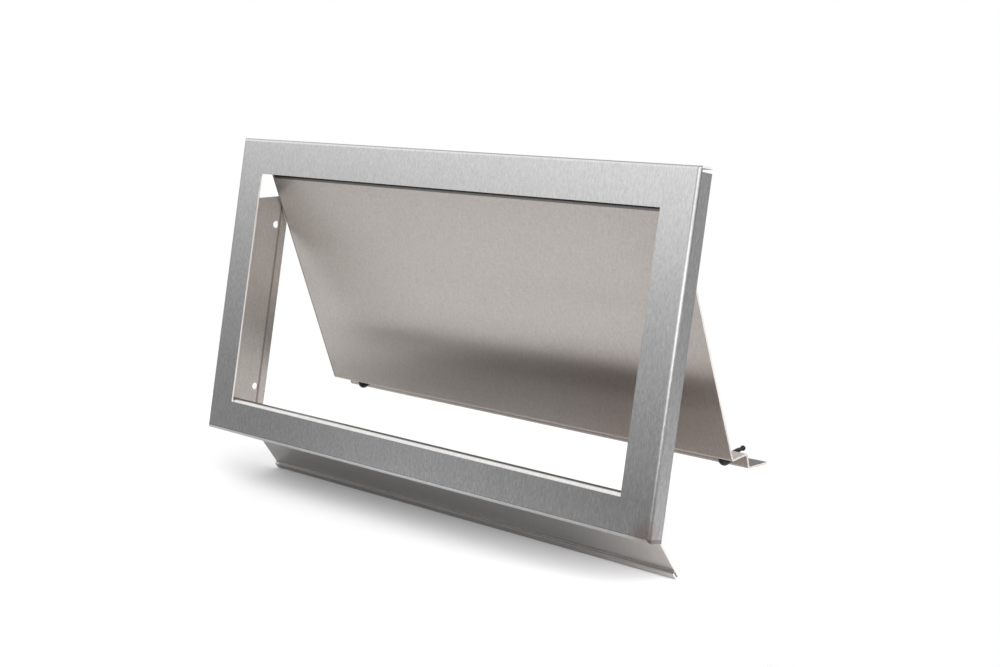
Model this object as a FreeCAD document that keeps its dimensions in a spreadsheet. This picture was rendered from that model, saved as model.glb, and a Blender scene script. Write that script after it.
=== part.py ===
import FreeCAD, Part
import math
import os
import Sketcher

# Waste chute: a folded steel front frame with a slide below its opening, and a flap
# that hangs from a continuous hinge behind the top rail.
# X runs across the front from its middle, Y runs back into the cabinet, Z runs up.
# The origin is the middle of the frame's lower rim, where it seats on the cabinet panel.

doc = FreeCAD.newDocument("waste_chute")

# Driving sizes in millimetres and degrees. Every piece below is tied to these.
SIZES = {
    "frame_width": 500.0,
    "frame_height": 250.0,
    "frame_depth": 13.0,
    "rail_width": 29.5,
    "sheet": 1.5,
    "bend_radius": 1.0,
    "corner_relief": 4.0,
    "slide_angle": 44.0,
    "slide_bend": 2.4,
    "sill_step": 3.4,
    "slide_run": 79.4,
    "slide_tab": 15.0,
    "hem_radius": 0.5,
    "hem_leg": 4.4,
    "bracket_setback": 4.5,
    "bracket_depth": 36.0,
    "bracket_foot": 15.0,
    "bracket_drop": 21.0,
    "bracket_rise": 11.4,
    "flare_leg": 6.5,
    "flare_angle": 8.0,
    "hole_radius": 3.0,
    "hole_back": 13.0,
    "hole_low": 10.5,
    "hole_high": 19.5,
    "hinge_drop": 17.0,
    "barrel_radius": 2.75,
    "barrel_gap": 0.4,
    "pin_radius": 1.5,
    "pin_clearance": 0.05,
    "leaf_sheet": 1.2,
    "leaf_up": 13.0,
    "leaf_down": 17.5,
    "leaf_inset": 4.0,
    "knuckle_count": 9,
    "knuckle_gap": 0.5,
    "open_angle": 30.0,
    "flap_side_gap": 1.0,
    "flap_top_gap": 4.0,
    "flap_overlap": 6.8,
    "fold_tilt": 11.5,
    "fold_back": 16.4,
    "web_lean": 5.5,
    "fold_step": 10.9,
    "foot_tilt": 18.6,
    "fold_foot": 21.7,
    "bumper_inset": 20.0,
    "bumper_drop": 6.4,
    "dome_radius": 4.6,
    "dome_skirt": 1.2,
    "neck_radius": 2.4,
    "neck_clearance": 0.1,
    "barb_radius": 2.8,
    "barb_length": 5.0,
    "tail_radius": 0.9,
    "grip_radius": 1.75,
    "grip_start": 6.0,
    "grip_length": 8.5,
    "tail_length": 18.5,
    "knob_radius": 1.95,
    "knob_end": 1.1,
    "knob_bevel": 1.0,
    "knob_belt": 1.7,
}

# Places worked out from the sizes, each written once and used by every piece that meets there.
PLACES = {
    "bend_outer": "Sizes.bend_radius + Sizes.sheet",
    "face_y": "-Sizes.frame_depth",
    "back_y": "Sizes.sheet - Sizes.frame_depth",
    "bottom_z": "-Sizes.sheet / 2",
    "top_z": "Sizes.frame_height - Sizes.sheet / 2",
    "sill_z": "Sizes.rail_width - Sizes.sheet / 2",
    "lintel_z": "Sizes.frame_height - Sizes.rail_width - Sizes.sheet / 2",
    "opening_half": "Sizes.frame_width / 2 - Sizes.rail_width",
    "bracket_in": "opening_half + Sizes.bracket_setback",
    "bracket_out": "bracket_in + Sizes.sheet",
    "flap_half": "bracket_in - Sizes.flap_side_gap",
    "axis_y": "back_y + Sizes.barrel_gap + Sizes.barrel_radius",
    "axis_z": "top_z - Sizes.hinge_drop",
    "flap_drop": "axis_z - sill_z + Sizes.flap_overlap",
    "fold_setback": "bend_outer * tan((90 - Sizes.fold_tilt) / 2 * 1 deg)",
    "web_setback": "Sizes.bend_radius * tan((90 + Sizes.web_lean - Sizes.fold_tilt) / 2 * 1 deg)",
    "foot_setback": "bend_outer * tan((90 + Sizes.web_lean - Sizes.foot_tilt) / 2 * 1 deg)",
    "hinge_length": "2 * (flap_half - Sizes.leaf_inset)",
    "knuckle_pitch": "hinge_length / Sizes.knuckle_count",
    "notch_length": "knuckle_pitch + Sizes.knuckle_gap",
    "notch_radius": "Sizes.barrel_radius + Sizes.knuckle_gap",
    "slide_outer": "Sizes.slide_bend + Sizes.sheet",
    "slide_knee_y": "back_y + slide_outer * (1 + tan(Sizes.slide_angle / 2 * 1 deg))",
    "bracket_rear_y": "back_y + Sizes.bracket_depth",
    "bracket_top_z": "lintel_z - Sizes.bracket_drop",
    "web_y": "Sizes.barrel_radius + Sizes.fold_back * cos(Sizes.fold_tilt * 1 deg)"
             " - Sizes.bumper_drop * sin(Sizes.web_lean * 1 deg)",
    "web_z": "-flap_drop - Sizes.fold_back * sin(Sizes.fold_tilt * 1 deg)"
             " - Sizes.bumper_drop * cos(Sizes.web_lean * 1 deg)",
    "bumper_x": "flap_half - Sizes.bumper_inset",
    "bumper_y": "axis_y + web_y * cos(Sizes.open_angle * 1 deg) - web_z * sin(Sizes.open_angle * 1 deg)",
    "bumper_z": "axis_z + web_y * sin(Sizes.open_angle * 1 deg) + web_z * cos(Sizes.open_angle * 1 deg)",
}

sizes = doc.addObject("Spreadsheet::Sheet", "Sizes")
for row, (alias, value) in enumerate(SIZES.items(), start=1):
    sizes.set("A%d" % row, alias.replace("_", " "))
    sizes.set("B%d" % row, str(value))
    sizes.setAlias("B%d" % row, alias)

places = doc.addObject("Spreadsheet::Sheet", "Places")
for row, (alias, formula) in enumerate(PLACES.items(), start=1):
    places.set("A%d" % row, alias.replace("_", " "))
    places.set("B%d" % row, "=" + formula)
    places.setAlias("B%d" % row, alias)

reading = doc.addObject("Spreadsheet::Sheet", "Reading")
doc.recompute()


def number(text):
    """Return the value of one formula written with the sizes and places."""
    reading.set("A1", "=" + text)
    reading.recompute()
    return float(reading.get("A1"))


def new_body(name):
    body = doc.addObject("PartDesign::Body", name)
    body.Label = name
    return body


def new_sketch(body, name, role):
    """Open a sketch on one of the body's own origin planes."""
    sketch = body.newObject("Sketcher::SketchObject", name)
    plane = [item for item in body.Origin.OriginFeatures if item.Role == role][0]
    sketch.AttachmentSupport = [(plane, "")]
    sketch.MapMode = "FlatFace"
    return sketch


def bind(sketch, constraint, text):
    """Add a dimension to a sketch and tie it to a formula."""
    index = sketch.addConstraint(constraint)
    label = "size_%d" % index
    sketch.renameConstraint(index, label)
    sketch.setExpression("Constraints." + label, text)


def pin_point(sketch, shape, point, across, up):
    """Fix one point of a sketch at two formulas, measured from the sketch's origin."""
    bind(sketch, Sketcher.Constraint("DistanceX", -1, 1, shape, point, number(across)), across)
    bind(sketch, Sketcher.Constraint("DistanceY", -1, 1, shape, point, number(up)), up)


def draw_polygon(sketch, corners):
    """Draw a closed outline whose corners are pairs of formulas."""
    points = [FreeCAD.Vector(number(across), number(up), 0) for across, up in corners]
    count = len(points)
    lines = []
    for step in range(count):
        segment = Part.LineSegment(points[step], points[(step + 1) % count])
        lines.append(sketch.addGeometry(segment, False))
    for step in range(count):
        sketch.addConstraint(Sketcher.Constraint("Coincident", lines[step], 2, lines[(step + 1) % count], 1))
    for step in range(count):
        pin_point(sketch, lines[step], 1, corners[step][0], corners[step][1])


def draw_box(sketch, left, low, right, high):
    draw_polygon(sketch, [(left, low), (right, low), (right, high), (left, high)])


def draw_circle(sketch, across, up, radius):
    middle = FreeCAD.Vector(number(across), number(up), 0)
    circle = sketch.addGeometry(Part.Circle(middle, FreeCAD.Vector(0, 0, 1), number(radius)), False)
    bind(sketch, Sketcher.Constraint("Radius", circle, number(radius)), radius)
    pin_point(sketch, circle, 3, across, up)


def draw_fold(sketch, start, legs, bends):
    """Draw the edge view of one folded sheet, as straight legs joined by round bends.

    start is the first point of the sheet's left face, legs are (length, heading) formulas,
    and bends are (side, inside radius): side is 1 for a turn to the left and -1 to the right.
    """
    sheet = number("Sizes.sheet")
    left = FreeCAD.Vector(number(start[0]), number(start[1]), 0)
    left_lines = []
    right_lines = []
    left_arcs = []
    right_arcs = []
    for step, (length, heading) in enumerate(legs):
        angle = math.radians(number(heading))
        along = FreeCAD.Vector(math.cos(angle), math.sin(angle), 0)
        aside = FreeCAD.Vector(-along.y, along.x, 0)
        end = left + along * number(length)
        right = left - aside * sheet
        right_end = end - aside * sheet
        left_lines.append(sketch.addGeometry(Part.LineSegment(left, end), False))
        right_lines.append(sketch.addGeometry(Part.LineSegment(right, right_end), False))
        if step == len(bends):
            break
        side, radius_text = bends[step]
        radius = number(radius_text)
        turn = math.radians(number(legs[step + 1][1])) - angle
        while turn * side <= 0:
            turn += side * 2 * math.pi
        near = end if side > 0 else right_end
        centre = near + aside * (side * radius)
        first = angle - side * math.pi / 2
        low, high = sorted((first, first + turn))
        left_radius = radius if side > 0 else radius + sheet
        right_radius = radius + sheet if side > 0 else radius
        upright = FreeCAD.Vector(0, 0, 1)
        left_arc = Part.ArcOfCircle(Part.Circle(centre, upright, left_radius), low, high)
        right_arc = Part.ArcOfCircle(Part.Circle(centre, upright, right_radius), low, high)
        left_arcs.append(sketch.addGeometry(left_arc, False))
        right_arcs.append(sketch.addGeometry(right_arc, False))
        last = first + turn
        left = centre + FreeCAD.Vector(math.cos(last), math.sin(last), 0) * left_radius
    for lines, arcs in ((left_lines, left_arcs), (right_lines, right_arcs)):
        for step, (side, radius_text) in enumerate(bends):
            enter, leave = (1, 2) if side > 0 else (2, 1)
            sketch.addConstraint(Sketcher.Constraint("Tangent", lines[step], 2, arcs[step], enter))
            sketch.addConstraint(Sketcher.Constraint("Tangent", arcs[step], leave, lines[step + 1], 1))
    for step, (side, radius_text) in enumerate(bends):
        sketch.addConstraint(Sketcher.Constraint("Coincident", left_arcs[step], 3, right_arcs[step], 3))
        inside = left_arcs[step] if side > 0 else right_arcs[step]
        bind(sketch, Sketcher.Constraint("Radius", inside, number(radius_text)), radius_text)
    for left_line, right_line in zip(left_lines, right_lines):
        sketch.addConstraint(Sketcher.Constraint("Parallel", left_line, right_line))
    sheet_ends = ((left_lines[0], right_lines[0], 1), (left_lines[-1], right_lines[-1], 2))
    for left_line, right_line, point in sheet_ends:
        left_end = sketch.getPoint(left_line, point)
        right_end = sketch.getPoint(right_line, point)
        cap = sketch.addGeometry(Part.LineSegment(left_end, right_end), False)
        sketch.addConstraint(Sketcher.Constraint("Coincident", cap, 1, left_line, point))
        sketch.addConstraint(Sketcher.Constraint("Coincident", cap, 2, right_line, point))
        sketch.addConstraint(Sketcher.Constraint("Perpendicular", cap, left_line))
        if point == 1:
            bind(sketch, Sketcher.Constraint("Distance", cap, sheet), "Sizes.sheet")
    for step, (length, heading) in enumerate(legs):
        bind(sketch, Sketcher.Constraint("Distance", left_lines[step], number(length)), length)
        angle = math.radians(number(heading))
        angle = math.atan2(math.sin(angle), math.cos(angle))
        if abs(math.sin(angle)) < 1e-9:
            sketch.addConstraint(Sketcher.Constraint("Horizontal", left_lines[step]))
        elif abs(math.cos(angle)) < 1e-9:
            sketch.addConstraint(Sketcher.Constraint("Vertical", left_lines[step]))
        else:
            text = "(%s) * 1 deg" % heading
            bind(sketch, Sketcher.Constraint("Angle", left_lines[step], angle), text)
    pin_point(sketch, left_lines[0], 1, start[0], start[1])


def add_pad(body, name, sketch, length, symmetric=True):
    pad = body.newObject("PartDesign::Pad", name)
    pad.Profile = sketch
    pad.SideType = "Symmetric" if symmetric else "One side"
    pad.setExpression("Length", length)
    doc.recompute()
    return pad


def cut_through(body, name, sketch):
    """Cut a sketch right through the body, both ways."""
    pocket = body.newObject("PartDesign::Pocket", name)
    pocket.Profile = sketch
    pocket.SideType = "Symmetric"
    pocket.Type = "ThroughAll"
    doc.recompute()
    return pocket


def cut_to(body, name, sketch, depth, reverse):
    pocket = body.newObject("PartDesign::Pocket", name)
    pocket.Profile = sketch
    pocket.Reversed = reverse
    pocket.setExpression("Length", depth)
    doc.recompute()
    return pocket


def round_edges(body, name, base, radius, wanted):
    """Round the edges of a feature for which wanted(edge) is true."""
    names = []
    for index, edge in enumerate(base.Shape.Edges, start=1):
        if wanted(edge):
            names.append("Edge%d" % index)
    fillet = body.newObject("PartDesign::Fillet", name)
    fillet.Base = (base, names)
    fillet.setExpression("Radius", radius)
    doc.recompute()
    return fillet


def lies_at_y(edge, place):
    box = edge.BoundBox
    return abs(box.YMin - place) < 1e-4 and abs(box.YMax - place) < 1e-4


def hang_on_hinge(item, angle, height="Places.axis_z", back="Places.axis_y"):
    """Place a piece of the flap: its own origin goes to a point and turns about X."""
    item.Placement = FreeCAD.Placement(FreeCAD.Vector(0, 0, 0), FreeCAD.Rotation(FreeCAD.Vector(1, 0, 0), 1))
    item.setExpression("Placement.Base.y", back)
    item.setExpression("Placement.Base.z", height)
    item.setExpression("Placement.Rotation.Angle", "(%s) * 1 deg" % angle)


# Front frame: one sheet with its four edges folded back to a rim, and the opening cut
# through its face. The side flanges stop short of the top flange at the upper corners.
front_frame = new_body("front_frame")
outline = new_sketch(front_frame, "frame_outline", "XZ_Plane")
draw_box(outline, "-Sizes.frame_width / 2", "Places.bottom_z", "Sizes.frame_width / 2", "Places.top_z")
block = add_pad(front_frame, "frame_block", outline, "Sizes.frame_depth", symmetric=False)
face_y = number("Places.face_y")
rounded = round_edges(front_frame, "frame_bends", block, "Places.bend_outer",
                      lambda edge: lies_at_y(edge, face_y))
hollow = new_sketch(front_frame, "frame_hollow_outline", "XZ_Plane")
draw_box(hollow, "Sizes.sheet - Sizes.frame_width / 2", "Places.bottom_z + Sizes.sheet",
         "Sizes.frame_width / 2 - Sizes.sheet", "Places.top_z - Sizes.sheet")
tray = cut_to(front_frame, "frame_hollow", hollow, "Sizes.frame_depth - Sizes.sheet", reverse=True)
back_y = number("Places.back_y")
inside = round_edges(front_frame, "frame_inner_bends", tray, "Sizes.bend_radius",
                     lambda edge: lies_at_y(edge, back_y))
gate = new_sketch(front_frame, "opening_outline", "XZ_Plane")
draw_box(gate, "-Places.opening_half", "Places.sill_z - Sizes.sill_step",
         "Places.opening_half", "Places.lintel_z")
cut_through(front_frame, "opening", gate)
relief = new_sketch(front_frame, "corner_relief_outline", "YZ_Plane")
draw_box(relief, "Places.bend_outer - Sizes.frame_depth", "Places.top_z - Sizes.corner_relief",
         "Sizes.sheet", "Places.top_z - Sizes.sheet")
cut_through(front_frame, "corner_reliefs", relief)

# Chute slide: one sheet whose upright tab is welded behind the lower rail. It turns over
# just above the rail's cut edge, runs down and back, and ends in a closed hem.
chute_slide = new_body("chute_slide")
slide_edge = new_sketch(chute_slide, "slide_edge", "YZ_Plane")
draw_fold(slide_edge,
          ("Places.back_y", "Places.sill_z - Places.slide_outer - Sizes.slide_tab"),
          [("Sizes.slide_tab", "90"),
           ("Sizes.slide_run", "-Sizes.slide_angle"),
           ("Sizes.hem_leg", "180 - Sizes.slide_angle")],
          [(-1, "Sizes.slide_bend"), (-1, "Sizes.hem_radius")])
add_pad(chute_slide, "slide_sheet", slide_edge, "2 * Places.bracket_out")

# Side brackets: angle sheets welded behind the side rails. Their lower edges stand on the
# slide, their rear strips are set outward, and two holes take screws into the cabinet side.
right_bracket = new_body("right_side_bracket")
plan = new_sketch(right_bracket, "bracket_plan", "XY_Plane")
draw_fold(plan,
          ("Places.bracket_in + Sizes.bracket_foot", "Places.back_y"),
          [("Sizes.bracket_foot - Places.bend_outer", "180"),
           ("Sizes.bracket_depth - Sizes.flare_leg - Places.bend_outer", "90"),
           ("Sizes.flare_leg", "90 - Sizes.flare_angle")],
          [(-1, "Sizes.bend_radius"), (-1, "Sizes.bend_radius")])
blank = right_bracket.newObject("PartDesign::Pad", "bracket_blank")
blank.Profile = plan
blank.SideType = "Two sides"
blank.setExpression("Length", "Places.lintel_z")
blank.setExpression("Length2", "Sizes.bracket_depth")
doc.recompute()
trim = new_sketch(right_bracket, "bracket_trim", "YZ_Plane")
draw_polygon(trim, [
    ("Places.face_y", "Places.sill_z"),
    ("Places.slide_knee_y", "Places.sill_z"),
    ("Places.slide_knee_y + Sizes.bracket_depth",
     "Places.sill_z - Sizes.bracket_depth * tan(Sizes.slide_angle * 1 deg)"),
    ("Places.slide_knee_y + Sizes.bracket_depth", "Places.sill_z - 3 * Sizes.bracket_depth"),
    ("Places.face_y", "Places.sill_z - 3 * Sizes.bracket_depth"),
])
draw_polygon(trim, [
    ("Places.back_y", "Places.bracket_top_z"),
    ("Places.back_y + 2 * Sizes.bracket_depth",
     "Places.bracket_top_z + 2 * Sizes.bracket_depth * tan(Sizes.bracket_rise * 1 deg)"),
    ("Places.back_y + 2 * Sizes.bracket_depth", "Places.top_z"),
    ("Places.back_y", "Places.top_z"),
])
cut_through(right_bracket, "bracket_ends", trim)
holes = new_sketch(right_bracket, "bracket_hole_places", "YZ_Plane")
draw_circle(holes, "Sizes.hole_back", "Places.sill_z + Sizes.hole_low", "Sizes.hole_radius")
draw_circle(holes, "Sizes.hole_back", "Places.bracket_top_z - Sizes.hole_high", "Sizes.hole_radius")
cut_through(right_bracket, "bracket_holes", holes)
left_bracket = doc.addObject("Part::Mirroring", "left_side_bracket")
left_bracket.Label = "left_side_bracket"
left_bracket.Source = right_bracket
left_bracket.Normal = FreeCAD.Vector(1, 0, 0)


def make_leaf(name, low, high, front, first_notch, notches):
    """Make one hinge leaf about its own axis: a plate, a bored barrel and knuckle notches."""
    body = new_body(name)
    plate = new_sketch(body, name + "_plate_edge", "YZ_Plane")
    draw_box(plate, front, low, "%s + Sizes.leaf_sheet" % front, high)
    add_pad(body, name + "_plate", plate, "Places.hinge_length")
    ring = new_sketch(body, name + "_barrel_edge", "YZ_Plane")
    draw_circle(ring, "0", "0", "Sizes.barrel_radius")
    add_pad(body, name + "_barrel", ring, "Places.hinge_length")
    bore = new_sketch(body, name + "_bore_edge", "YZ_Plane")
    draw_circle(bore, "0", "0", "Sizes.pin_radius + Sizes.pin_clearance")
    cut_through(body, name + "_bore", bore)
    gap = new_sketch(body, name + "_notch_outline", "XZ_Plane")
    start = "-Places.hinge_length / 2 + %d * Places.knuckle_pitch - Sizes.knuckle_gap / 2" % first_notch
    draw_box(gap, start, "-Places.notch_radius", start + " + Places.notch_length", "Places.notch_radius")
    notch = cut_through(body, name + "_notch", gap)
    row = body.newObject("PartDesign::LinearPattern", name + "_notch_row")
    row.Originals = [notch]
    row.Direction = ([item for item in body.Origin.OriginFeatures if item.Role == "X_Axis"][0], [""])
    row.Mode = "Spacing"
    row.setExpression("Offset", "2 * Places.knuckle_pitch")
    row.setExpression("Occurrences", notches)
    body.Tip = row
    doc.recompute()
    return body


# Hinge: a continuous pair of leaves on one pin. The fixed leaf goes up the back of the
# top rail, and the moving leaf lies flat on the front of the flap below the barrel.
frame_leaf = make_leaf("hinge_frame_leaf", "0", "Sizes.leaf_up", "Places.back_y - Places.axis_y",
                       1, "floor(Sizes.knuckle_count / 2)")
hang_on_hinge(frame_leaf, "0")
flap_leaf = make_leaf("hinge_flap_leaf", "-Sizes.leaf_down", "0", "Sizes.barrel_radius - Sizes.leaf_sheet",
                      0, "ceil(Sizes.knuckle_count / 2)")
hang_on_hinge(flap_leaf, "Sizes.open_angle")
hinge_pin = doc.addObject("Part::Cylinder", "hinge_pin")
hinge_pin.Label = "hinge_pin"
hinge_pin.setExpression("Radius", "Sizes.pin_radius")
hinge_pin.setExpression("Height", "Places.hinge_length")
sideways = FreeCAD.Rotation(FreeCAD.Vector(0, 1, 0), 90)
hinge_pin.Placement = FreeCAD.Placement(FreeCAD.Vector(0, 0, 0), sideways)
hinge_pin.setExpression("Placement.Base.x", "-Places.hinge_length / 2")
hinge_pin.setExpression("Placement.Base.y", "Places.axis_y")
hinge_pin.setExpression("Placement.Base.z", "Places.axis_z")

# Flap: one sheet that hangs from the hinge and folds back, down and back again along its
# lower edge. Drawn closed, with the hinge axis as its own origin, then swung open.
flap_panel = new_body("flap_panel")
flap_edge = new_sketch(flap_panel, "flap_edge", "YZ_Plane")
draw_fold(flap_edge,
          ("Sizes.barrel_radius + Sizes.sheet", "-Sizes.flap_top_gap"),
          [("Places.flap_drop - Sizes.flap_top_gap - Places.fold_setback", "-90"),
           ("Sizes.fold_back - Places.fold_setback - Places.web_setback", "-Sizes.fold_tilt"),
           ("Sizes.fold_step - Places.web_setback - Places.foot_setback", "-90 - Sizes.web_lean"),
           ("Sizes.fold_foot - Places.foot_setback", "-Sizes.foot_tilt")],
          [(1, "Sizes.bend_radius"), (-1, "Sizes.bend_radius"), (1, "Sizes.bend_radius")])
add_pad(flap_panel, "flap_sheet", flap_edge, "2 * Places.flap_half")
seats = new_sketch(flap_panel, "bumper_seats", "XZ_Plane")
seats.AttachmentOffset = FreeCAD.Placement(FreeCAD.Vector(0, 0, 0),
                                           FreeCAD.Rotation(FreeCAD.Vector(1, 0, 0), -1))
seats.setExpression("AttachmentOffset.Base.y", "Places.web_z")
seats.setExpression("AttachmentOffset.Base.z", "-Places.web_y")
seats.setExpression("AttachmentOffset.Rotation.Angle", "-Sizes.web_lean * 1 deg")
draw_circle(seats, "Places.bumper_x", "0", "Sizes.neck_radius + Sizes.neck_clearance")
draw_circle(seats, "-Places.bumper_x", "0", "Sizes.neck_radius + Sizes.neck_clearance")
cut_to(flap_panel, "bumper_holes", seats, "2 * Sizes.sheet", reverse=False)
hang_on_hinge(flap_panel, "Sizes.open_angle")


def make_bumper(name, side):
    """Make one push-in bumper on its own axis: dome, neck, barb, pull tail and knob."""
    body = new_body(name)
    skirt = body.newObject("PartDesign::AdditiveCylinder", name + "_skirt")
    skirt.setExpression("Radius", "Sizes.dome_radius")
    skirt.setExpression("Height", "Sizes.dome_skirt")
    skirt.setExpression("Placement.Base.z", "-Sizes.dome_skirt")
    dome = body.newObject("PartDesign::AdditiveSphere", name + "_dome")
    dome.Angle1 = -90
    dome.Angle2 = 0
    dome.setExpression("Radius", "Sizes.dome_radius")
    dome.setExpression("Placement.Base.z", "-Sizes.dome_skirt")
    neck = body.newObject("PartDesign::AdditiveCylinder", name + "_neck")
    neck.setExpression("Radius", "Sizes.neck_radius")
    neck.setExpression("Height", "Sizes.sheet + Sizes.neck_clearance")
    barb = body.newObject("PartDesign::AdditiveCone", name + "_barb")
    barb.setExpression("Radius1", "Sizes.barb_radius")
    barb.setExpression("Radius2", "Sizes.tail_radius")
    barb.setExpression("Height", "Sizes.barb_length")
    barb.setExpression("Placement.Base.z", "Sizes.sheet + Sizes.neck_clearance")
    tail = body.newObject("PartDesign::AdditiveCylinder", name + "_tail")
    tail.setExpression("Radius", "Sizes.tail_radius")
    tail.setExpression("Height", "Sizes.tail_length")
    grip = body.newObject("PartDesign::AdditiveCone", name + "_grip")
    grip.setExpression("Radius1", "Sizes.tail_radius")
    grip.setExpression("Radius2", "Sizes.grip_radius")
    grip.setExpression("Height", "Sizes.grip_length")
    grip.setExpression("Placement.Base.z", "Sizes.grip_start")
    flare = body.newObject("PartDesign::AdditiveCone", name + "_knob_flare")
    flare.setExpression("Radius1", "Sizes.knob_end")
    flare.setExpression("Radius2", "Sizes.knob_radius")
    flare.setExpression("Height", "Sizes.knob_bevel")
    flare.setExpression("Placement.Base.z", "Sizes.tail_length")
    belt = body.newObject("PartDesign::AdditiveCylinder", name + "_knob_belt")
    belt.setExpression("Radius", "Sizes.knob_radius")
    belt.setExpression("Height", "Sizes.knob_belt")
    belt.setExpression("Placement.Base.z", "Sizes.tail_length + Sizes.knob_bevel")
    cap = body.newObject("PartDesign::AdditiveCone", name + "_knob_cap")
    cap.setExpression("Radius1", "Sizes.knob_radius")
    cap.setExpression("Radius2", "Sizes.knob_end")
    cap.setExpression("Height", "Sizes.knob_bevel")
    cap.setExpression("Placement.Base.z", "Sizes.tail_length + Sizes.knob_bevel + Sizes.knob_belt")
    hang_on_hinge(body, "Sizes.open_angle - Sizes.web_lean - 90", "Places.bumper_z", "Places.bumper_y")
    body.setExpression("Placement.Base.x", "%d * Places.bumper_x" % side)
    doc.recompute()
    return body


# Bumpers: rubber domes pushed through the web of the flap's fold, one near each end. They
# meet the slide when the flap swings shut.
left_bumper = make_bumper("left_bumper", -1)
right_bumper = make_bumper("right_bumper", 1)

doc.recompute()
pieces = [front_frame, chute_slide, left_bracket, right_bracket, frame_leaf, hinge_pin,
          flap_panel, flap_leaf, left_bumper, right_bumper]
for item in doc.Objects:
    if "Invalid" in item.State or "Error" in item.State:
        raise RuntimeError("%s did not build" % item.Label)
os.makedirs("parts", exist_ok=True)
for piece in pieces:
    if piece.Shape.isNull() or not piece.Shape.isValid() or len(piece.Shape.Solids) != 1:
        raise RuntimeError("%s is not one sound solid" % piece.Label)
    piece.Shape.exportStep("parts/%s.step" % piece.Label)
    print(piece.Label, round(piece.Shape.Volume, 1), piece.Shape.BoundBox)
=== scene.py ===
import math

import bpy
import numpy as np
from mathutils import Euler, Matrix, Vector


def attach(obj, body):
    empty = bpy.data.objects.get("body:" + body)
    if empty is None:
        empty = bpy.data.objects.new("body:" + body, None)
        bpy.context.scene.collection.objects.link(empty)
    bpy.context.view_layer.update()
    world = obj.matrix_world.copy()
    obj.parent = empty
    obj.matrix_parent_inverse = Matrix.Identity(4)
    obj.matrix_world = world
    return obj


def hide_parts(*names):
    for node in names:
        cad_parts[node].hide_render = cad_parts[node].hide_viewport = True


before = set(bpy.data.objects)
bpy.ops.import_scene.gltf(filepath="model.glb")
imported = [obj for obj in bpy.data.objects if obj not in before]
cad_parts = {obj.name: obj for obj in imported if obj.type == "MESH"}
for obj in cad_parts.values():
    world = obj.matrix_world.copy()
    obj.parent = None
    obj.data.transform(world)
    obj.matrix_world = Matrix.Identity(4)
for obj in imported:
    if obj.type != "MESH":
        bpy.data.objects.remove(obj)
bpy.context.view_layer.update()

# Front frame: one sheet of stainless steel, brushed up and down, cut out and folded back on all
# four sides. Its lower corners are welded, and a brown reflection is painted at the right one. The
# lower rail has a painted sheen in the middle and painted shade at its right end and on its lower
# fold, painted shade dims the upper half of the right fold, and a dark reflection is painted along
# the top fold.


def add_node(tree, kind, inputs=(), **settings):
    """Add one shader node. Each input is a plain value or the socket that feeds it."""
    made = tree.nodes.new("ShaderNode" + kind)
    for name, value in settings.items():
        setattr(made, name, value)
    for socket, value in dict(inputs).items():
        if isinstance(value, bpy.types.NodeSocket):
            tree.links.new(value, made.inputs[socket])
        else:
            made.inputs[socket].default_value = value
    return made


def reckon(tree, operation, *values, clamp=False):
    """One step of arithmetic on numbers or sockets."""
    return add_node(tree, "Math", dict(enumerate(values)),
                    operation=operation, use_clamp=clamp).outputs[0]


def fade(tree, value, none, full, shape="LINEAR"):
    """A mask that is 0 where the value is at none and grows to 1 where it is at full."""
    return add_node(tree, "MapRange", {"Value": value, "From Min": none, "From Max": full},
                    interpolation_type=shape).outputs[0]


def overlap(tree, mask, *others):
    """The mask of what lies within every mask given: their product."""
    for other in others:
        mask = reckon(tree, "MULTIPLY", mask, other)
    return mask


def between(tree, share, low, high):
    """The value at a share of the way from low to high."""
    return add_node(tree, "Mix", {"Factor": share, "A": low, "B": high}).outputs["Result"]


def blend_colour(tree, share, base, other, way="MIX"):
    """A share of one colour laid over another. A colour is three numbers or a socket."""
    base, other = [colour if isinstance(colour, bpy.types.NodeSocket) else (*colour, 1.0)
                   for colour in (base, other)]
    return add_node(tree, "Mix", {"Factor": share, 6: base, 7: other},
                    data_type="RGBA", blend_type=way).outputs[2]


def noise(tree, position, scale, detail, roughness=0.5):
    """Soft noise over a position, around 0.5."""
    return add_node(tree, "TexNoise", {"Vector": position, "Scale": scale, "Detail": detail,
                                       "Roughness": roughness}).outputs[0]


def split(tree, vector):
    """The X, Y and Z of a vector."""
    return add_node(tree, "SeparateXYZ", {0: vector}).outputs


def place_on(tree):
    """The place of each point of a surface."""
    return add_node(tree, "TexCoord").outputs["Object"]


def facing_of(tree):
    """The way that each point of a surface faces."""
    return add_node(tree, "NewGeometry").outputs["Normal"]


def start_group(name, inputs, outputs):
    """Open a shader node group. An input of None is a vector, and a number is its default value."""
    tree = bpy.data.node_groups.new(name, "ShaderNodeTree")
    for label, value in inputs.items():
        kind = "NodeSocketVector" if value is None else "NodeSocketFloat"
        socket = tree.interface.new_socket(label, in_out="INPUT", socket_type=kind)
        if value is not None:
            socket.default_value = value
    for label in outputs:
        tree.interface.new_socket(label, in_out="OUTPUT", socket_type="NodeSocketFloat")
    return tree, tree.nodes.new("NodeGroupInput").outputs, tree.nodes.new("NodeGroupOutput").inputs


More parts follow.
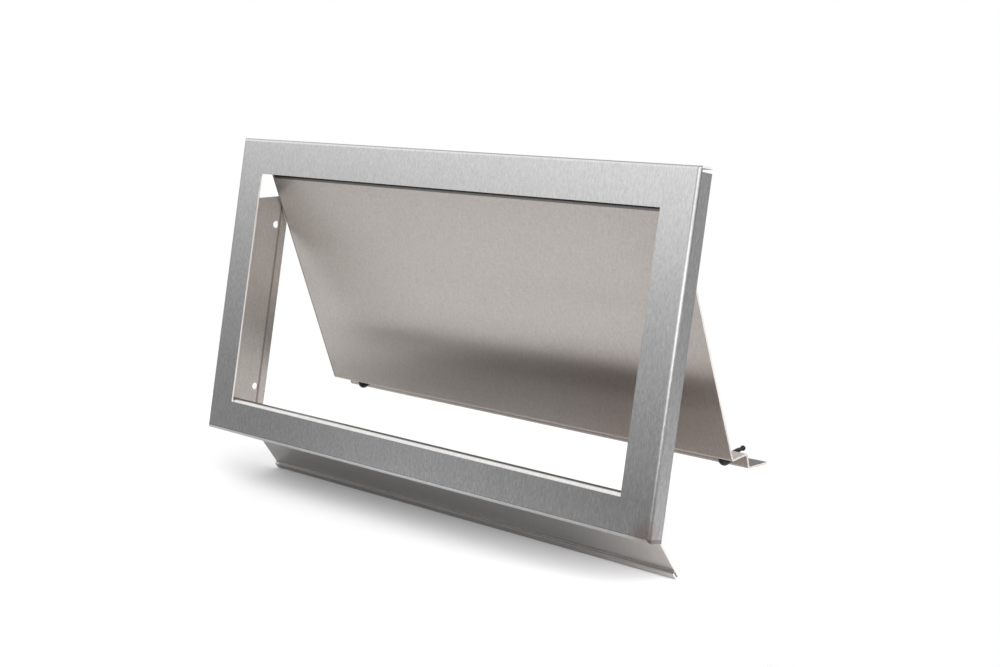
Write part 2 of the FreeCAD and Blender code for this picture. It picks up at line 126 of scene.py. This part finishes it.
# Brushing: noise drawn out along the sheet. Streaks lie across X, or across Y on faces that
# look sideways, so they run on over every fold. A few broader streaks lie among the fine ones.
looks_sideways = 0.6
broad_stretch = (0.16, 0.5, 0.5)
brushing, given, result = start_group(
    "brushing", {"Position": None, "Facing": None, "Streaks": 900.0, "Run": 35.0, "Broad": 0.2},
    ["Tone", "Relief"])
spot = split(brushing, given["Position"])
facing = split(brushing, given["Facing"])
sideways = reckon(brushing, "GREATER_THAN", reckon(brushing, "ABSOLUTE", facing["X"]), looks_sideways)
across = between(brushing, sideways, spot["X"], spot["Y"])
depth = between(brushing, sideways, spot["Y"], spot["X"])
drawn = add_node(brushing, "CombineXYZ", {
    "X": reckon(brushing, "MULTIPLY", across, given["Streaks"]),
    "Y": reckon(brushing, "MULTIPLY", depth, given["Run"]),
    "Z": reckon(brushing, "MULTIPLY", spot["Z"], given["Run"])}).outputs[0]
fine = noise(brushing, drawn, scale=1.0, detail=3.0, roughness=0.65)
broad = add_node(brushing, "VectorMath", {0: drawn, 1: broad_stretch},
                 operation="MULTIPLY").outputs[0]
broad = noise(brushing, broad, scale=1.0, detail=2.0)
brushing.links.new(between(brushing, given["Broad"], fine, broad), result["Tone"])
brushing.links.new(fine, result["Relief"])

# Handling: a fine mottle from the pickling bath, and wide soft clouds left by hands and cloths.
handling, given, result = start_group(
    "handling", {"Position": None, "Size": 9.0, "Grit": 520.0}, ["Cloud", "Mottle"])
cloud = noise(handling, given["Position"], scale=given["Size"], detail=3.0)
mottle = noise(handling, given["Position"], scale=given["Grit"], detail=4.0, roughness=0.7)
for label, marks in (("Cloud", cloud), ("Mottle", mottle)):
    handling.links.new(fade(handling, marks, none=0.3, full=0.7), result[label])

# Shearing: the bare edge where the sheet was cut, on faces that look sideways within a width
# or above a height.
edge_on = 0.9
shearing, given, result = start_group(
    "shearing", {"Position": None, "Facing": None, "Within": 1.0, "Above": 1.0}, ["Edge"])
spot = split(shearing, given["Position"])
facing = split(shearing, given["Facing"])
sideways = reckon(shearing, "GREATER_THAN", reckon(shearing, "ABSOLUTE", facing["X"]), edge_on)
within = reckon(shearing, "LESS_THAN", reckon(shearing, "ABSOLUTE", spot["X"]), given["Within"])
above = reckon(shearing, "GREATER_THAN", spot["Z"], given["Above"])
edge = overlap(shearing, sideways, reckon(shearing, "MAXIMUM", within, above))
shearing.links.new(edge, result["Edge"])

sheared_edge, sheared_rough = (0.72, 0.69, 0.66), 0.6
cloud_share = 0.5
scratch_depth = 0.00005
grain_line = (0.0, 0.3, 1.0)


def steel_finish(name, dark, light, gloss, dull, stretch, streaks, run, broad, mottle, relief, cut,
                 above=1.0):
    """A brushed steel: colour and roughness follow the streaks, the mottle and the clouds.

    Faces that look sideways within the width cut, or above a height, are sheared edges: paler
    and duller.
    """
    made = bpy.data.materials.new(name)
    made.use_nodes = True
    tree = made.node_tree
    shader = tree.nodes["Principled BSDF"].inputs
    position, normal = place_on(tree), facing_of(tree)
    surface = {"Position": position, "Facing": normal}
    grain = add_node(tree, "Group", {**surface, "Streaks": streaks, "Run": run, "Broad": broad},
                     node_tree=brushing).outputs
    marks = add_node(tree, "Group", {"Position": position}, node_tree=handling).outputs
    edge = add_node(tree, "Group", {**surface, "Within": cut, "Above": above},
                    node_tree=shearing).outputs["Edge"]
    streak = fade(tree, grain["Tone"], none=0.32, full=0.68)
    shade = between(tree, mottle, streak, marks["Mottle"])
    colour = blend_colour(tree, edge, blend_colour(tree, shade, dark, light), sheared_edge)
    tree.links.new(colour, shader["Base Color"])
    wear = between(tree, cloud_share, streak, marks["Cloud"])
    rough = between(tree, edge, between(tree, wear, gloss, dull), sheared_rough)
    tree.links.new(rough, shader["Roughness"])
    scratches = add_node(tree, "Bump", {"Height": grain["Relief"], "Strength": relief,
                                        "Distance": scratch_depth}).outputs[0]
    tree.links.new(scratches, shader["Normal"])
    aside = add_node(tree, "VectorMath", {0: normal, 1: grain_line},
                     operation="CROSS_PRODUCT").outputs[0]
    tree.links.new(aside, shader["Tangent"])
    shader["Metallic"].default_value = 1.0
    shader["Anisotropic"].default_value = stretch
    return made


def tint(steel, mask, colour):
    """Multiply a steel's colour where the mask is 1."""
    tree = steel.node_tree
    base = tree.nodes["Principled BSDF"].inputs["Base Color"]
    tree.links.new(blend_colour(tree, mask, base.links[0].from_socket, colour, way="MULTIPLY"), base)


def dress(node, material):
    """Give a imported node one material."""
    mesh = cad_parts[node].data
    mesh.materials.clear()
    mesh.materials.append(material)


frame_steel = steel_finish(
    "brushed_frame", dark=(0.52, 0.52, 0.525), light=(0.72, 0.72, 0.725), gloss=0.19, dull=0.22,
    stretch=0.75, streaks=1000.0, run=250.0, broad=0.08, mottle=0.3, relief=0.15,
    cut=0.235, above=0.2474)
tree = frame_steel.node_tree
position = place_on(tree)
spot = split(tree, position)
# A brown reflection is painted around the welded lower right corner.
welded_corner = (0.246, -0.013, 0.002)
painted_corner_reflection = add_node(tree, "VectorMath", {0: position, 1: welded_corner},
                operation="DISTANCE").outputs["Value"]
painted_corner_reflection = fade(tree, painted_corner_reflection, none=0.018, full=0.002, shape="SMOOTHSTEP")
tint(frame_steel, painted_corner_reflection, (0.78, 0.68, 0.66))
# Painted shade dims the highlight on the lower fold.
painted_low_fold_shade = fade(tree, spot["Z"], none=0.0026, full=0.0016)
tint(frame_steel, painted_low_fold_shade, (0.58, 0.575, 0.57))
# A painted sheen lightens the middle of the lower rail.
low_rail = fade(tree, spot["Z"], none=0.045, full=0.025)
middle = fade(tree, reckon(tree, "ABSOLUTE", spot["X"]), none=0.17, full=0.02, shape="SMOOTHSTEP")
painted_light_patch = overlap(tree, middle, low_rail)
tint(frame_steel, painted_light_patch, (1.25, 1.25, 1.26))
# Painted shade darkens the front of the lower rail at its right end.
front = fade(tree, spot["Y"], none=-0.0112, full=-0.0116)
right_end = fade(tree, spot["X"], none=0.14, full=0.22)
painted_right_end_shade = overlap(tree, right_end, low_rail, front)
tint(frame_steel, painted_right_end_shade, (0.87, 0.86, 0.855))
# A dark reflection is painted along the front of the top fold.
top_fold = fade(tree, spot["Z"], none=0.2481, full=0.2485)
painted_top_fold_reflection = overlap(tree, top_fold, front)
tint(frame_steel, painted_top_fold_reflection, (0.42, 0.42, 0.42))
# Painted shade dims the upper half of the right fold's front.
right_fold = fade(tree, spot["X"], none=0.2474, full=0.2478)
fold_front = fade(tree, spot["Y"], none=-0.0103, full=-0.0108)
upper_half = fade(tree, spot["Z"], none=0.160, full=0.215)
painted_right_fold_shade = overlap(tree, right_fold, fold_front, upper_half)
tint(frame_steel, painted_right_fold_shade, (0.62, 0.615, 0.61))
dress("front_frame", frame_steel)

# Chute slide: one sheet spot welded behind the lower rail, turned over above the rail's edge
# and run down and back to a hem whose mouth is sealed. A highlight is painted on the turned edge,
# a dark reflection on its crown and painted shade on the underside, with painted light at the
# underside's right end.
slide_steel = steel_finish(
    "satin_slide", dark=(0.54, 0.53, 0.52), light=(0.70, 0.69, 0.675), gloss=0.28, dull=0.36,
    stretch=0.4, streaks=800.0, run=90.0, broad=0.15, mottle=0.4, relief=0.2, cut=1.0)
tree = slide_steel.node_tree
spot = split(tree, place_on(tree))
facing = split(tree, facing_of(tree))
# Painted shade darkens the faces that look down.
looks_down = -0.3
painted_shade_underside = reckon(tree, "LESS_THAN", facing["Z"], looks_down)
tint(slide_steel, painted_shade_underside, (0.45, 0.445, 0.445))
# Painted light brightens the underside at its right end.
right_end = fade(tree, spot["X"], none=0.130, full=0.225)
painted_light_patch = overlap(tree, right_end, painted_shade_underside)
tint(slide_steel, painted_light_patch, (1.64, 1.59, 1.56))
# A dark reflection is painted on the crown of the turned edge.
painted_dark_crown = fade(tree, spot["Z"], none=0.0273, full=0.0281)
tint(slide_steel, painted_dark_crown, (0.30, 0.29, 0.28))
# A highlight is painted on the turned edge below its crown.
turned_edge = fade(tree, spot["Z"], none=0.0240, full=0.0252)
painted_edge_highlight = reckon(tree, "SUBTRACT", turned_edge, painted_dark_crown, clamp=True)
tint(slide_steel, painted_edge_highlight, (1.15, 1.15, 1.16))
dress("chute_slide", slide_steel)


def add_piece(name, points, faces, smooth=False):
    """Put points and faces into a mesh, and the mesh into the scene as a piece at the origin."""
    mesh = bpy.data.meshes.new(name)
    mesh.from_pydata(points.tolist(), [], faces)
    if smooth:
        mesh.shade_smooth()
    made = bpy.data.objects.new(name, mesh)
    bpy.context.scene.collection.objects.link(made)
    return made


def drawn_bar(name, outline, half):
    """A bar of one closed outline in (Y, Z), carried along X from -half to half, with flat ends."""
    count = len(outline)
    end = np.insert(outline, 0, half, axis=1)
    points = np.concatenate([end * (-1, 1, 1), end])
    index = np.arange(count)
    after = np.roll(index, -1)
    sides = np.stack([index, index + count, after + count, after], axis=-1)
    return add_piece(name, points, sides.tolist() + [index.tolist(), (index[::-1] + count).tolist()])


slope = math.radians(44.0)
downhill = np.array([math.cos(slope), -math.sin(slope)])
outward = np.array([-math.sin(slope), -math.cos(slope)])
hem_mouth = np.array([0.04802, -0.02552])
seam_half, seam_radius = 0.2262, 0.0013
tuck, tuck_start, tuck_end = 0.0004, 0.0001, 0.0009
turn = np.linspace(0.0, np.pi / 2, 9)[:, None]
hollow = hem_mouth + seam_radius * ((1 - np.sin(turn)) * outward - (1 - np.cos(turn)) * downhill)
tucked = hem_mouth + tuck * downhill + np.array([[tuck_start], [tuck_end]]) * outward
hem_seam = drawn_bar("hem_seam", np.concatenate([hollow, tucked]), seam_half)
# The strip that closes the hem's mouth is dark: painted shade in the crease.
painted_seam_shade = steel_finish(
    "hem_seam", dark=(0.20, 0.185, 0.175), light=(0.34, 0.325, 0.31), gloss=0.40, dull=0.55,
    stretch=0.0, streaks=400.0, run=200.0, broad=0.5, mottle=0.5, relief=0.3, cut=1.0)
hem_seam.data.materials.append(painted_seam_shade)
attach(hem_seam, "frame")


def ring_quads(index):
    """Four-sided faces between rows of points that close on themselves, from row to row."""
    after = np.roll(index, -1, axis=1)
    return np.stack([index[:-1], index[1:], after[1:], after[:-1]], axis=-1).reshape(-1, 4)


def ring_fan(ring, tip):
    """Three-sided faces from a tip to each side of one closed ring of points."""
    return np.stack([np.full(len(ring), tip), ring, np.roll(ring, -1)], axis=-1)


def weld_spots(name, places, radius=0.003, height=0.0003, rings=5, spokes=20):
    """Shallow round caps on the back of a sheet: each is a parabola turned about Y.

    A point at share s of the radius stands height * (1 - s * s) proud of its place. The caps
    are closed underneath by their outer rings.
    """
    share, turn = np.meshgrid(np.linspace(1 / rings, 1.0, rings),
                              np.arange(spokes) * 2 * np.pi / spokes, indexing="ij")
    cap = np.stack([radius * share * np.cos(turn), height * (1 - share ** 2),
                    -radius * share * np.sin(turn)], axis=-1)
    cap = np.concatenate([cap.reshape(-1, 3), [[0.0, height, 0.0]]])
    places = np.array(places)
    points = (places[:, None, :] + cap[None, :, :]).reshape(-1, 3)
    index = np.arange(rings * spokes).reshape(rings, spokes)
    first = len(cap) * np.arange(len(places))[:, None, None]
    quads = (ring_quads(index)[None] + first).reshape(-1, 4)
    tips = (ring_fan(index[0], rings * spokes)[None] + first).reshape(-1, 3)
    unders = index[-1, ::-1][None] + first[:, 0]
    return add_piece(name, points, quads.tolist() + tips.tolist() + unders.tolist(), smooth=True)


weld_steel = steel_finish(
    "weld_spot", dark=(0.30, 0.27, 0.24), light=(0.52, 0.49, 0.46), gloss=0.32, dull=0.5,
    stretch=0.0, streaks=700.0, run=500.0, broad=0.5, mottle=0.5, relief=0.5, cut=0.0)
weld_row = np.linspace(-0.205, 0.205, 9)
tab_back, tab_middle = -0.01002, 0.0165
slide_welds = weld_spots("slide_welds", [(x, tab_back, tab_middle) for x in weld_row])
slide_welds.data.materials.append(weld_steel)
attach(slide_welds, "frame")

# Side brackets: angle sheets spot welded behind the side rails, with two punched screw holes
# each. The rear strip is pressed a little outward, with painted shade along the crease, and their
# lower ends are darkened with painted shade.
bracket_steel = steel_finish(
    "satin_bracket", dark=(0.542, 0.512, 0.486), light=(0.79, 0.753, 0.722), gloss=0.34, dull=0.40,
    stretch=0.3, streaks=450.0, run=120.0, broad=0.3, mottle=0.6, relief=0.2, cut=0.0)
tree = bracket_steel.node_tree
spot = split(tree, place_on(tree))
# Painted shade darkens a thin line along the crease.
press_y = 0.0166
painted_crease_shade = reckon(tree, "ABSOLUTE", reckon(tree, "SUBTRACT", spot["Y"], press_y))
painted_crease_shade = fade(tree, painted_crease_shade, none=0.0016, full=0.0002)
tint(bracket_steel, painted_crease_shade, (0.50, 0.45, 0.41))
# Painted shade darkens the lower ends.
painted_low_shade = fade(tree, spot["Z"], none=0.085, full=0.035)
tint(bracket_steel, painted_low_shade, (0.84, 0.82, 0.81))
dress("left_side_bracket", bracket_steel)
dress("right_side_bracket", bracket_steel)
foot_middle = 0.2335
bracket_welds = weld_spots("bracket_welds", [(side * foot_middle, tab_back, z) for side in (-1, 1)
                                             for z in np.linspace(0.042, 0.190, 5)])
bracket_welds.data.materials.append(weld_steel)
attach(bracket_welds, "frame")

# Hinge: two rolled leaves on one drawn pin, spot welded to the top rail and to the flap. They
# are plain dull steel, coloured dark as painted shade under the top rail, with a black band of
# painted shadow at the barrel.
# The dark colour is painted shade under the top rail.
hinge_steel = steel_finish(
    "hinge_steel", dark=(0.12, 0.117, 0.113), light=(0.19, 0.185, 0.18), gloss=0.36, dull=0.48,
    stretch=0.3, streaks=900.0, run=60.0, broad=0.3, mottle=0.4, relief=0.2, cut=0.0)
tree = hinge_steel.node_tree
spot = split(tree, place_on(tree))
# A black band of painted shadow lies at the barrel.
barrel_up = fade(tree, spot["Z"], none=0.2188, full=0.2200)
above_shadow_band = fade(tree, spot["Z"], none=0.2355, full=0.2385)
painted_shadow_band = reckon(tree, "SUBTRACT", barrel_up, above_shadow_band, clamp=True)
tint(hinge_steel, painted_shadow_band, (0.03, 0.03, 0.03))
dress("hinge_frame_leaf", hinge_steel)
dress("hinge_flap_leaf", hinge_steel)
dress("hinge_pin", hinge_steel)
leaf_back, leaf_middle = -0.01028, 0.2405
hinge_welds = weld_spots("hinge_welds", [(x, leaf_back, leaf_middle) for x in weld_row])
hinge_welds.data.materials.append(weld_steel)
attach(hinge_welds, "frame")

# Flap: one satin sheet that hangs on the hinge, with a step folded along its lower edge. The
# press has drawn the front in a little above the folds, which shows in its gloss only. Painted
# shade darkens it at the top, lower down, at its right end and on the lower right, a dark line is
# painted along its left edge, and a dark reflection is painted at the right end of the last strip.
flap_steel = steel_finish(
    "satin_flap", dark=(0.404, 0.375, 0.354), light=(0.552, 0.519, 0.494), gloss=0.32, dull=0.34,
    stretch=0.95, streaks=700.0, run=200.0, broad=0.05, mottle=0.6, relief=0.04, cut=1.0)
tree = flap_steel.node_tree
spot = split(tree, place_on(tree))
facing = split(tree, facing_of(tree))
looks_forward, looks_up = -0.5, 0.5
front = reckon(tree, "LESS_THAN", facing["Y"], looks_forward)
upper = reckon(tree, "GREATER_THAN", facing["Z"], looks_up)
# The way down the flap from its top edge, along the sheet at its rest angle.
down_z, down_y, top_edge = -0.866, 0.5, 0.2053
down = reckon(tree, "MULTIPLY_ADD", spot["Z"], down_z, top_edge)
down = reckon(tree, "MULTIPLY_ADD", spot["Y"], down_y, down)
# Painted shade darkens the top of the flap.
painted_top_shade = fade(tree, down, none=0.085, full=0.015)
tint(flap_steel, painted_top_shade, (0.88, 0.88, 0.88))
# Painted shade darkens the lower part of the flap.
painted_foot_shade = fade(tree, down, none=0.160, full=0.195)
tint(flap_steel, painted_foot_shade, (0.86, 0.85, 0.845))
# Painted shade darkens the right end of the flap.
painted_end_shade = fade(tree, spot["X"], none=0.150, full=0.205)
tint(flap_steel, painted_end_shade, (0.96, 0.95, 0.94))
# Painted shade darkens the lower right of the front.
right_half = fade(tree, spot["X"], none=0.04, full=0.12)
lower_part = fade(tree, down, none=0.125, full=0.150)
painted_lower_right_shade = overlap(tree, right_half, lower_part, front)
tint(flap_steel, painted_lower_right_shade, (0.90, 0.85, 0.84))
# A dark line is painted along the left edge.
left_edge = fade(tree, spot["X"], none=-0.2222, full=-0.2230)
tint(flap_steel, left_edge, (0.55, 0.53, 0.51))
# A dark reflection is painted on the upper face of the last strip at its right end.
right_end = fade(tree, spot["X"], none=0.195, full=0.212)
last_strip = fade(tree, spot["Y"], none=0.1205, full=0.1225)
painted_foot_reflection = overlap(tree, right_end, last_strip, upper)
tint(flap_steel, painted_foot_reflection, (0.27, 0.28, 0.30))
bow_depth = 0.0066
bow = overlap(tree, fade(tree, down, none=0.090, full=0.174, shape="SMOOTHSTEP"), front)
bow = reckon(tree, "MULTIPLY", bow, bow_depth)
scratched = tree.nodes["Principled BSDF"].inputs["Normal"]
bowed = add_node(tree, "Bump", {"Height": bow, "Strength": 1.0, "Distance": 1.0,
                                "Normal": scratched.links[0].from_socket})
tree.links.new(bowed.outputs[0], scratched)
dress("flap_panel", flap_steel)

# Bumpers: soft black rubber, moulded in one piece. A dome sits on the front of the fold, a
# barb holds it in the hole, and the tail it was pulled through by still stands bent upward.


def turned_skin(name, reach, radius, arch, seat, axis, rise, spokes=28):
    """A round body carried along a bent line, closed to a point at both ends.

    The line leaves seat along axis and is lifted along rise by arch. At each reach the skin is
    a circle of the given radius, square to the line there.
    """
    ahead = axis + np.gradient(arch, reach)[:, None] * rise
    ahead = ahead / np.linalg.norm(ahead, axis=1, keepdims=True)
    side = np.array([1.0, 0.0, 0.0])
    line = seat + reach[:, None] * axis + arch[:, None] * rise
    turn = np.arange(spokes) * 2 * np.pi / spokes
    ring = np.cos(turn)[:, None] * np.cross(ahead, side)[:, None, :] + np.sin(turn)[:, None] * side
    skin = (line[:, None, :] + radius[:, None, None] * ring)[1:-1]
    points = np.concatenate([skin.reshape(-1, 3), line[:1], line[-1:]])
    index = np.arange(len(skin) * spokes).reshape(len(skin), spokes)
    front_tip = ring_fan(index[0], index.size)
    back_tip = ring_fan(index[-1], index.size + 1)[:, [1, 0, 2]]
    return add_piece(name, points, ring_quads(index).tolist() + front_tip.tolist() + back_tip.tolist(),
                     smooth=True)


# The profile in millimetres along the bumper: a dome, then pairs of reach and radius for its
# rim, neck, barb and tail, then a knob at the tail's end.
dome_reach, dome_radius = -1.2, 4.6
rim_to_tail = np.array([
    (-0.35, 4.60), (-0.12, 4.45), (0.0, 4.0), (0.02, 2.40), (1.55, 2.40), (1.62, 2.75), (2.0, 2.75),
    (4.3, 1.9), (6.4, 1.3), (8.0, 1.2), (10.5, 1.3), (13.0, 1.55), (15.4, 1.75), (17.2, 1.6),
    (18.6, 1.25)])
knob_reach, knob_radius = 20.7, 2.05
dome = np.linspace(0.0, np.pi / 2, 12)
knob = np.linspace(0.65, np.pi, 18)
reach = np.concatenate([dome_reach - dome_radius * np.cos(dome), rim_to_tail[:, 0],
                        knob_reach - knob_radius * np.cos(knob)])
radius = np.concatenate([dome_radius * np.sin(dome), rim_to_tail[:, 1], knob_radius * np.sin(knob)])
# The tail starts behind the sheet, lifts soon after it and comes back to the axis at its end.
tail_start, tail_length, lift, droop = 1.6, 21.2, 26.0, 0.35
share = np.clip((reach - tail_start) / tail_length, 0.0, 1.0)
arch = lift * share ** 1.5 * (1.0 - share) ** 3 - droop * share ** 2
web_tilt = math.radians(24.5)
axis = np.array([0.0, math.cos(web_tilt), math.sin(web_tilt)])
rise = np.array([0.0, -math.sin(web_tilt), math.cos(web_tilt)])
rubber = bpy.data.materials.new("bumper_rubber")
rubber.use_nodes = True
tree = rubber.node_tree
shader = tree.nodes["Principled BSDF"].inputs
pores = noise(tree, place_on(tree), scale=900.0, detail=3.0)
black, worn_black = (0.003, 0.003, 0.003), (0.010, 0.009, 0.009)
rubber_gloss, rubber_dull = 0.25, 0.45
tree.links.new(blend_colour(tree, pores, black, worn_black), shader["Base Color"])
tree.links.new(between(tree, pores, rubber_gloss, rubber_dull), shader["Roughness"])
shader["Specular IOR Level"].default_value = 0.25
hole_x, hole_y, hole_z = 0.204, 0.117388, 0.050880
for node, side in (("left_bumper", -1), ("right_bumper", 1)):
    seat = np.array([side * hole_x, hole_y, hole_z])
    bumper = turned_skin(node + "_skin", reach / 1000, radius / 1000, arch / 1000, seat, axis, rise)
    bumper.data.materials.append(rubber)
    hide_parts(node)
    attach(bumper, "flap")

# Studio: the part leans back on the hem of its slide in the picture. Here the part stands
# upright, as it is fitted, and the paper floor, the light and the camera are turned by that lean.
lean = math.radians(10.711)
face_foot = (0.0, -0.013, -0.00075)
floor_gap = 0.0002
studio = Matrix.Translation(face_foot) @ Matrix.Rotation(lean, 4, "X")
up = studio.to_3x3() @ Vector((0.0, 0.0, 1.0))
slide_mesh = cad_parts["chute_slide"].data
points = np.empty(3 * len(slide_mesh.vertices))
slide_mesh.vertices.foreach_get("co", points)
lowest = (points.reshape(-1, 3) @ np.array(up)).min() - up.dot(studio.translation) - floor_gap


def round_sheet(name, radius, height, rings, spokes):
    """A level disc: every ring is a circle of evenly stepped radius, closed on itself."""
    inner_radius = 0.02
    reach, turn = np.meshgrid(np.linspace(inner_radius, radius, rings),
                              np.arange(spokes) * 2 * np.pi / spokes, indexing="ij")
    rim = np.stack([reach * np.cos(turn), reach * np.sin(turn), np.full(reach.shape, height)], axis=-1)
    corners = np.concatenate([rim.reshape(-1, 3), [[0.0, 0.0, height]]])
    index = np.arange(rings * spokes).reshape(rings, spokes)
    return add_piece(name, corners, ring_quads(index).tolist() + ring_fan(index[0], index.size).tolist())


floor_shift = (-0.14, -0.12, 0.0)
floor = round_sheet("floor", radius=0.52, height=lowest, rings=12, spokes=96)
floor.data.transform(studio @ Matrix.Translation(floor_shift))
paper = bpy.data.materials.new("paper_floor")
paper.use_nodes = True
tree = paper.node_tree
shader = tree.nodes["Principled BSDF"].inputs
fibre = noise(tree, place_on(tree), scale=40.0, detail=4.0)
paper_grey, paper_pale = (0.725, 0.725, 0.73), (0.745, 0.745, 0.75)
tree.links.new(blend_colour(tree, fibre, paper_grey, paper_pale), shader["Base Color"])
shader["Roughness"].default_value = 0.9
floor.data.materials.append(paper)

# Light: a pale room, dimmer towards its skirting, with a window on the right and a glow low in
# the corner behind it. A wide lamp hangs overhead, a soft box stands on the right, and a small
# one near the floor fills the shadow. The camera sees plain white behind the part.
world = bpy.data.worlds.new("room")
bpy.context.scene.world = world
world.use_nodes = True
tree = world.node_tree
tree.nodes.clear()
heading = add_node(tree, "TexCoord").outputs["Generated"]


def towards(direction):
    """How nearly each heading in the room points in a direction, from -1 to 1."""
    return add_node(tree, "VectorMath", {0: heading, 1: direction},
                    operation="DOT_PRODUCT").outputs["Value"]


height = fade(tree, towards(up), none=-1.0, full=1.0)
walls = add_node(tree, "ValToRGB", {"Fac": height})
wall_heights = (0.515, 0.54, 0.57, 0.59, 0.61)
wall_levels = (0.29, 0.39, 0.64, 0.93, 1.18)
wall_ramp = walls.color_ramp.elements
wall_ramp[0].position, wall_ramp[1].position = wall_heights[0], wall_heights[-1]
for place in wall_heights[1:-1]:
    wall_ramp.new(place)
for stop, level in zip(wall_ramp, wall_levels):
    stop.color = (level, level, level, 1.0)
rear_corner, corner_level, skirting_level = (0.707, 0.707, 0.0), 0.11, 0.42
corner = fade(tree, towards(rear_corner), none=0.3, full=0.9)
low_down = fade(tree, height, none=0.41, full=0.36)
corner = overlap(tree, corner, between(tree, low_down, corner_level, skirting_level))
glow = blend_colour(tree, 1.0, walls.outputs[0], corner, way="ADD")
window_side, window_level = (0.83, -0.56, 0.0), 1.4
window = fade(tree, towards(window_side), none=0.55, full=0.85)
raised = fade(tree, height, none=0.52, full=0.57)
window = reckon(tree, "MULTIPLY", overlap(tree, window, raised), window_level)
glow = blend_colour(tree, 1.0, glow, window, way="ADD")
seen = add_node(tree, "LightPath").outputs["Is Camera Ray"]
room = add_node(tree, "Background", {"Color": glow, "Strength": 1.0})
white = add_node(tree, "Background", {"Color": (1.0, 1.0, 1.0, 1.0), "Strength": 1.0})
either = add_node(tree, "MixShader", {0: seen, 1: room.outputs[0], 2: white.outputs[0]})
add_node(tree, "OutputWorld", {"Surface": either.outputs[0]})

lamp = bpy.data.lights.new("overhead_lamp", "SUN")
lamp.energy = 1.1
lamp.angle = math.radians(60.0)
overhead = bpy.data.objects.new("overhead_lamp", lamp)
bpy.context.scene.collection.objects.link(overhead)
hang = Euler((math.radians(32.0), math.radians(35.0), 0.0)).to_matrix().to_4x4()
overhead.matrix_world = studio @ hang


def soft_box(name, width, height, watts, place, target):
    """A rectangular lamp at a place of the studio, turned to a target and itself unseen."""
    lamp = bpy.data.lights.new(name, "AREA")
    lamp.shape = "RECTANGLE"
    lamp.size, lamp.size_y, lamp.energy = width, height, watts
    made = bpy.data.objects.new(name, lamp)
    bpy.context.scene.collection.objects.link(made)
    aim = (Vector(target) - Vector(place)).to_track_quat("-Z", "Y").to_matrix().to_4x4()
    made.matrix_world = studio @ Matrix.Translation(place) @ aim
    made.visible_camera = False
    made.visible_glossy = False


soft_box("side_lamp", width=0.8, height=0.5, watts=30.0,
         place=(2.1, -0.30, 0.26), target=(0.20, 0.03, -0.04))
soft_box("low_lamp", width=0.12, height=0.05, watts=0.9,
         place=(0.42, -0.02, lowest + 0.05), target=(0.15, -0.01, lowest))

# Camera: a long lens at standing distance, turned towards the right-hand end of the part and a
# little downward. Its place follows from the edges of the frame in the picture.
view = bpy.data.cameras.new("camera")
view.sensor_width = 36.0
view.lens = 61.85
camera = bpy.data.objects.new("camera", view)
bpy.context.scene.collection.objects.link(camera)
camera_place = (0.960739, -0.829035, 0.319257)
tip_down, turn_left = math.radians(9.356), math.radians(45.721)
aim = Euler((math.pi / 2 - tip_down, 0.0, turn_left)).to_matrix().to_4x4()
camera.matrix_world = studio @ Matrix.Translation(camera_place) @ aim
bpy.context.scene.camera = camera
bpy.context.scene.view_settings.view_transform = "Standard"
